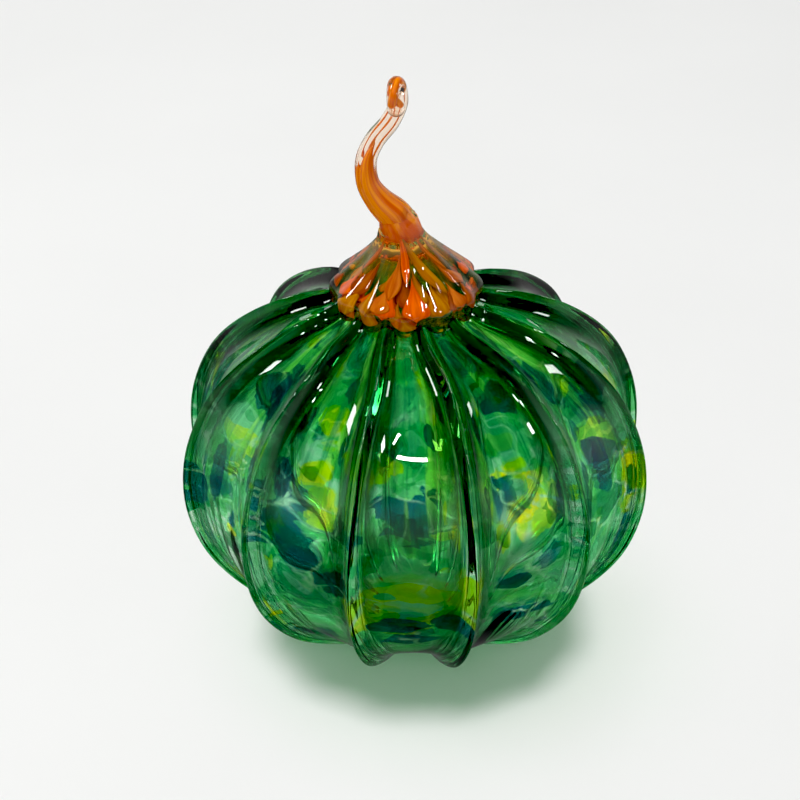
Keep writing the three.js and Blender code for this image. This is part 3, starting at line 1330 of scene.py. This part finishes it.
@dataclass
class StemColour:
    """The opaque colour inside the stem: drops in the cap and strands in the tail."""

    stem: AppliedStem
    drop_rows: int = 18
    drop_sides: int = 14
    thickness: float = 0.55 * MM
    thread: float = 0.6  # share of a drop's length that is drawn out thin
    thread_width: float = 0.12 * MM
    scattered: int = 84
    seed: int = 5
    tail_samples: int = 400
    strand_rows: int = 70
    strand_sides: int = 16
    finest: float = 0.01 * MM  # half a strand's width at its ends

    # how the scattered drops' colours are shared out, in DropColour's order
    CHANCES = (0.26, 0.26, 0.16, 0.32)

    DROPS = (
        Drop(9, 0.36, 0.88, 6.4, DropColour.ORANGE, -3, 0.4),
        Drop(15, 0.28, 0.80, 4.6, DropColour.OCHRE, -6, 1.5),
        Drop(-18, 0.12, 0.66, 3.8, DropColour.SALMON, 12, 0.4),
        Drop(-26, 0.46, 0.72, 5.6, DropColour.SALMON, 4, 0.9),
        Drop(-20, 0.54, 0.87, 5.6, DropColour.ORANGE, 5, 0.6),
        Drop(-36, 0.36, 0.87, 2.6, DropColour.OCHRE, 2, 0.3),
        Drop(-56, 0.26, 0.64, 5.2, DropColour.AMBER, 10, 0.9),
        Drop(-57, 0.52, 0.88, 5.4, DropColour.OCHRE, 8, 0.8),
        Drop(-72, 0.46, 0.84, 5.0, DropColour.ORANGE, 5, 1.0),
        Drop(0, -0.20, 0.43, 1.8, DropColour.ORANGE, 3, 0.2),
        Drop(41, -0.20, 0.65, 3.0, DropColour.OCHRE, -55, 0.2),
        Drop(29, 0.40, 0.78, 5.2, DropColour.OCHRE, 0, 1.6),
        Drop(44, 0.62, 0.93, 4.6, DropColour.AMBER, 0, 0.7),
        Drop(52, 0.52, 0.82, 4.2, DropColour.SALMON, -4, 0.8),
        Drop(70, 0.26, 0.64, 4.2, DropColour.SALMON, -20, 0.7),
        Drop(64, 0.54, 0.86, 4.4, DropColour.AMBER, 0, 0.9),
        Drop(60, -0.20, 0.40, 1.0, DropColour.SALMON, -34, 0.2),
        Drop(78, -0.16, 0.42, 0.9, DropColour.OCHRE, -24, 0.2),
        Drop(-66, -0.16, 0.42, 1.0, DropColour.SALMON, 30, 0.2),
        Drop(-2, 0.26, 0.62, 4.0, DropColour.AMBER, 0, 2.2),
        Drop(-8, 0.58, 0.90, 3.8, DropColour.OCHRE, 0, 1.9),
    )
    # x, y, z and radius in millimetres of the orange that fills the stem between tail and neck
    PLUG = (
        (-5.3, -0.1, 115.0, 1.9),
        (-4.5, 0.0, 113.5, 2.8),
        (-3.9, 0.2, 112.0, 3.4),
        (-3.3, 0.6, 110.4, 3.9),
        (-3.0, 0.9, 109.2, 4.1),
        (-2.8, 1.2, 108.4, 3.2),
    )
    STRANDS = (
        Strand(0.0, 0.44, 0.10, 20, 70, (0.30, 0.66, 0.66, 0.60, 0.40, 0.10)),
        Strand(0.0, 0.36, 0.42, 190, 60, (0.10, 0.50, 0.46, 0.40, 0.06)),
        Strand(0.05, 0.58, 0.38, 110, 80, (0.10, 0.30, 0.30, 0.14, 0.05, 0.03)),
        Strand(0.36, 0.74, 0.46, 200, 60, (0.03, 0.05, 0.04, 0.02)),
        Strand(0.34, 0.70, 0.40, 75, 60, (0.03, 0.04, 0.03, 0.02)),
        Strand(0.40, 0.80, 0.15, 300, 90, (0.02, 0.05, 0.05, 0.02)),
        Strand(0.70, 1.0, 0.36, 60, 190, (0.06, 0.24, 0.40, 0.34, 0.42, 0.36)),
        Strand(0.84, 1.0, 0.40, 250, 150, (0.05, 0.22, 0.26, 0.20)),
    )

    def _drops(self) -> list[Drop]:
        """The listed drops and those that fell by chance."""
        rng = np.random.default_rng(self.seed)
        tones = list(DropColour)
        drops = list(self.DROPS)
        for index in range(self.scattered):
            foot = float(rng.uniform(0.48, 1.0))
            length = float(rng.uniform(0.14, 0.30) * (1.7 if index % 5 == 0 else 1.0))
            drops.append(
                Drop(
                    azimuth=float(rng.uniform(0, 360)),
                    top=foot - length,
                    foot=foot,
                    width=float(rng.uniform(2.6, 5.6) * (0.4 + 0.6 * foot)),
                    tone=tones[int(rng.choice(len(tones), p=self.CHANCES))],
                    swirl=float(rng.uniform(-12, 12)),
                    depth=float(rng.uniform(1.4, 3.4)),
                )
            )
        return drops

    def _swell(self, t: float) -> float:
        """How wide a drop is, beside its widest, at a share of its length."""
        if t > self.thread:
            return max(math.sin(math.pi * t**2.2), 0.0)
        return math.sin(math.pi * self.thread**2.2) * (t / self.thread) ** 1.7

    def _drop_rings(self, drop: Drop) -> tuple[Array, Array]:
        """The rings of one flattened teardrop that follows the cap.

        Args:
            drop: the drop.

        Returns:
            Its rings, from the thread to the foot, and its middle line.
        """
        nudge = 0.02  # share of the cap, to see which way it runs
        rings, middle = [], []
        sides = np.linspace(0, 2 * math.pi, self.drop_sides, endpoint=False)
        for t in np.linspace(0.0, 1.0, self.drop_rows):
            share = drop.top + (drop.foot - drop.top) * t
            azimuth = math.radians(drop.azimuth + drop.swirl * (1 - t) ** 1.5)
            point = self.stem.cap_point(share, azimuth)
            down = self.stem.cap_point(share + nudge, azimuth) - self.stem.cap_point(share - nudge, azimuth)
            down /= np.linalg.norm(down)
            across = np.array([math.cos(azimuth), math.sin(azimuth), 0.0])
            out = np.cross(across, -down)
            out /= np.linalg.norm(out)
            half = 0.5 * drop.width * MM * self._swell(t) + self.thread_width * (1 - t) * t * 4
            thick = min(self.thickness, half)
            centre = point - out * (drop.depth * MM + thick)
            wide, deep = half * np.cos(sides)[:, None] * across, thick * np.sin(sides)[:, None] * out
            rings.append(centre + wide + deep)
            middle.append(centre)
        return np.array(rings), np.array(middle)

    def _loft(self, parts: MeshParts, rings: Array, ends: tuple[Array, Array], flow: float) -> None:
        """Join one strand's or drop's rings and close both its ends.

        Args:
            parts: the mesh that takes them.
            rings: the rings.
            ends: the two closing points.
            flow: where this one reads its streaks.
        """
        rows, columns = rings.shape[:2]
        along = np.linspace(0, 1.2, rows)[:, None] + 0 * np.arange(columns)[None]
        round_it = np.linspace(0, 2 * math.pi, columns, endpoint=False)[None] + 0 * along
        streaks = np.stack([2.0 * np.cos(round_it), 2.0 * np.sin(round_it), along + flow], -1)
        first = parts.add_points(ends[0], flow=streaks[0, 0])
        body = parts.add_points(rings, flow=streaks)
        last = parts.add_points(ends[1], flow=streaks[-1, 0])
        parts.join_pole(body, first, columns, 0, True)
        parts.join_rings(body, columns, [0] * (rows - 1))
        parts.join_pole(last - columns, last, columns, 0, False)

    def build_drops(self, tone: DropColour) -> bpy.types.Object:
        """All drops of one colour, as one piece.

        Args:
            tone: the colour.

        Returns:
            The drops.
        """
        parts = MeshParts()
        for index, drop in enumerate(self._drops()):
            if drop.tone is tone:
                rings, middle = self._drop_rings(drop)
                self._loft(parts, rings[1:-1], (middle[0], middle[-1]), 3.0 * index)
        name = f"cap_drops_{tone.name.lower()}"
        return parts.build(name, [DropGlass(name, tone).material()])

    def _strand_rings(self, strand: Strand, turn: Array) -> tuple[Array, Array]:
        """The rings of one strand, which follows the tail.

        Args:
            strand: the strand.
            turn: the angles round it.

        Returns:
            Its rings and its middle line, from its start up.
        """
        points, radii, fronts, sides = self.stem.tail_line(self.tail_samples)
        last = self.tail_samples - 1
        shares = np.linspace(strand.start, strand.end, self.strand_rows)
        at = np.clip((shares * last).astype(int), 0, last)
        fronts, sides, radii = fronts[at], sides[at], radii[at]
        along = np.linspace(0, 1, self.strand_rows)
        ends = np.sqrt(np.clip(along * 12, 0, 1)) * np.sqrt(np.clip((1 - along) * 12, 0, 1))
        width = np.interp(along, np.linspace(0, 1, len(strand.widths)), strand.widths) * radii
        width = width * ends + self.finest
        angle = np.radians(strand.angle + strand.twist * along)
        away = np.cos(angle)[:, None] * fronts + np.sin(angle)[:, None] * sides
        centre = points[at] + away * (strand.off_centre * radii)[:, None]
        return centre[:, None] + spokes(turn, fronts, sides) * width[:, None, None], centre

    def build_strands(self) -> bpy.types.Object:
        """The strands of orange inside the tail.

        Returns:
            The strands, as one piece.
        """
        parts = MeshParts()
        turn = np.linspace(0, 2 * math.pi, self.strand_sides, endpoint=False)
        for index, strand in enumerate(self.STRANDS):
            rings, centre = self._strand_rings(strand, turn)
            self._loft(parts, rings[::-1], (centre[-1], centre[0]), 5.0 * index)
        plug = np.array(self.PLUG) * MM
        centres, reach = plug[:, :3], plug[:, 3]
        level = np.stack([np.sin(turn), -np.cos(turn), 0 * turn], axis=1)
        rings = centres[:, None] + level[None] * reach[:, None, None]
        self._loft(parts, rings, (centres[0], centres[-1]), 2.5)
        finish = DropGlass("tail_orange", DropColour.ORANGE, gold=1.9)
        return parts.build("tail_strands", [finish.material()])


# ---------------------------------------------------------------------------------------------
# The studio
# ---------------------------------------------------------------------------------------------


@dataclass(frozen=True)
class SoftLight:
    """One soft rectangular lamp that faces the pumpkin."""

    name: str
    azimuth: float  # degrees, 0 in front
    elevation: float  # degrees above the table
    distance: float
    width: float
    height: float
    power: float
    mirrored: bool = True  # False for a lamp that glass doesn't mirror
    lighting: bool = True  # False for one that only shows in the glass

    def build(self, aim: Vector) -> None:
        """Hang the lamp.

        Args:
            aim: the point it faces.
        """
        lamp = bpy.data.lights.new(self.name, "AREA")
        lamp.shape = "RECTANGLE"
        lamp.size = self.width
        lamp.size_y = self.height
        lamp.energy = self.power
        holder = bpy.data.objects.new(self.name, lamp)
        bpy.context.scene.collection.objects.link(holder)
        a, e = math.radians(self.azimuth), math.radians(self.elevation)
        back = Vector((math.sin(a) * math.cos(e), -math.cos(a) * math.cos(e), math.sin(e)))
        holder.location = aim + back * self.distance
        holder.rotation_mode = "QUATERNION"
        holder.rotation_quaternion = (-back).to_track_quat("-Z", "Y")
        holder.visible_glossy = self.mirrored
        holder.visible_diffuse = self.lighting


@dataclass
class Studio:
    """The table, the lamps, the room and the camera."""

    aim: Vector
    camera_elevation: float = 33.47
    camera_distance: float = 0.612
    lens: float = 112.5
    turned_left: float = 0.41  # degrees the camera looks to the left of the aim
    turned_up: float = 1.60  # degrees it looks above it
    table_radius: float = 4.0
    black_level: float = 0.018

    AIM_HEIGHT = 0.425  # share of the body's height that the camera looks at
    CYCLES = {
        "max_bounces": 20,
        "transmission_bounces": 20,
        "transparent_max_bounces": 24,
        "glossy_bounces": 6,
        "diffuse_bounces": 3,
        "caustics_refractive": False,
        "caustics_reflective": False,
        "use_denoising": True,
    }
    LAMPS = (
        SoftLight("front_window", 4, 55, 1.6, 0.07, 0.07, 1.8, lighting=False),
        SoftLight("front_slit", 17, 63, 1.6, 0.04, 0.16, 2.0, lighting=False),
        SoftLight("side_window", 40, 50, 1.7, 0.24, 0.18, 5.0, lighting=False),
        SoftLight("overhead", 252, 79, 1.8, 1.25, 1.1, 31.5, mirrored=False),
        SoftLight("left_strip", -100, 44, 2.0, 0.4, 0.3, 8.0, lighting=False),
        SoftLight("right_strip", 110, 44, 2.0, 0.4, 0.3, 6.0, lighting=False),
        SoftLight("front_fill", 0, 38, 2.0, 1.2, 0.6, 5.0, mirrored=False),
    )

    # the room's light from straight down, through the horizon at 0.5, to overhead
    ROOM = (
        (0.0, (0.08, 0.08, 0.08)),
        (0.30, (0.14, 0.14, 0.14)),
        (0.45, (0.60, 0.60, 0.59)),
        (0.48, (0.80, 0.80, 0.79)),
        (0.57, (0.70, 0.70, 0.69)),
        (0.69, (0.24, 0.25, 0.25)),
        (1.0, (0.10, 0.10, 0.10)),
    )

    def build_table(self) -> None:
        """Lay the table."""
        mesh = bpy.data.meshes.new("table")
        turn = np.linspace(0, 2 * math.pi, 96, endpoint=False)
        rim = self.table_radius * np.stack([np.cos(turn), np.sin(turn), 0 * turn], 1)
        mesh.from_pydata(rim.tolist(), [], [tuple(range(len(rim)))])
        mesh.materials.append(TableFinish(self.table_radius).material())
        table = bpy.data.objects.new("table", mesh)
        bpy.context.scene.collection.objects.link(table)
        table.visible_glossy = False  # the glass stays deep where it would mirror the table

    def build_room(self) -> None:
        """Light the room evenly, brighter near the table's edge than overhead."""
        world = bpy.data.worlds.new("room")
        bpy.context.scene.world = world
        steps = Steps(world)
        place = steps.node("ShaderNodeTexCoord", {}, {}).outputs["Generated"]
        up = Value(steps, steps.node("ShaderNodeSeparateXYZ", {}, {0: place}).outputs["Z"])
        light = steps.ramp(up * 0.5 + 0.5, self.ROOM)
        back = steps.node("ShaderNodeBackground", {}, {0: light, 1: 1.0}).outputs[0]
        steps.node("ShaderNodeOutputWorld", {}, {0: back})

    def build_camera(self) -> None:
        """Stand the camera in front, looking down."""
        camera = bpy.data.cameras.new("camera")
        camera.lens = self.lens
        camera.sensor_width = 36.0
        camera.clip_start = 0.01
        camera.clip_end = 50.0
        holder = bpy.data.objects.new("camera", camera)
        bpy.context.scene.collection.objects.link(holder)
        e = math.radians(self.camera_elevation)
        back = Vector((0.0, -math.cos(e), math.sin(e)))
        holder.location = self.aim + back * self.camera_distance
        holder.rotation_mode = "XYZ"
        pitch = math.pi / 2 - e + math.radians(self.turned_up)
        holder.rotation_euler = (pitch, 0.0, math.radians(self.turned_left))
        bpy.context.scene.camera = holder

    def build(self) -> None:
        """Set everything up and give glass enough bounces."""
        self.build_table()
        self.build_room()
        for lamp in self.LAMPS:
            lamp.build(self.aim)
        self.build_camera()
        scene = bpy.context.scene
        scene.view_settings.view_transform = "Standard"
        scene.view_settings.use_curve_mapping = True
        scene.view_settings.curve_mapping.black_level = (self.black_level,) * 3
        for name, value in self.CYCLES.items():
            setattr(scene.cycles, name, value)


# ---------------------------------------------------------------------------------------------
# The whole pumpkin
# ---------------------------------------------------------------------------------------------


def body_finishes() -> list[ChipGlass]:
    """The body's finishes, in BodySlot's order."""
    white = (1.0, 1.0, 1.0)
    # what a thin wall and the thick base let through to what they shade
    thin, thick = (0.965, 0.988, 0.968), (0.09, 0.25, 0.12)
    inner, under = (5.3, 2.9, 7.1), (2.2, 6.4, 1.7)
    return [
        ChipGlass("green_outside", white, thin, gloss=0.30, depth=1.4),
        ChipGlass("green_inside", white, thin, gloss=0.10, shift=inner, depth=0.50),
        ChipGlass("green_under_stem", white, thin, ior=1.0, transmission=0.75, shift=under, depth=0.5),
        ChipGlass("green_base", white, thick, gloss=0.30, depth=1.4),
    ]


def stem_finishes() -> list[Glass]:
    """The stem's finishes, in StemSlot's order."""
    return [
        StemGlass("clear_stem", (0.99, 0.83, 0.69), (0.99, 0.94, 0.88), gloss=0.05),
        AmberJoint("amber_joint", (0.80, 0.36, 0.06), (1.0, 1.0, 1.0), ior=1.0),
        Glass("yellow_pocket", (0.95, 0.80, 0.10), (0.9, 0.8, 0.5)),
    ]


def main() -> None:
    """Build the pumpkin and its studio around the frame."""
    logging.basicConfig(level=logging.INFO, format="%(message)s")
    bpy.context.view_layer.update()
    low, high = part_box("pumpkin_body")
    ribs = RibMould()
    radius = (high.x - low.x) / 2 / math.cos(ribs.step / 2)
    outline = CrestOutline(radius=radius, height=high.z)
    body = BlownBody(outline=outline, ribs=ribs)
    stem = AppliedStem(body=body)
    colour = StemColour(stem=stem)
    fused_to = outline.share_at_radius(stem.rim_radius - stem.rim_overlap)

    pieces = [
        carried(body.build(fused_to, body_finishes()), "green_glass", "pumpkin_body"),
        carried(stem.build(stem_finishes()), "amber_glass", "stem"),
        *(carried(colour.build_drops(tone), "amber_glass") for tone in DropColour),
        carried(colour.build_strands(), "amber_glass"),
    ]
    for piece in pieces:
        LOG.info("%s: %d faces", piece.name, len(piece.data.polygons))

    Studio(aim=Vector((0.0, 0.0, Studio.AIM_HEIGHT * high.z))).build()


if __name__ == "__main__":
    main()
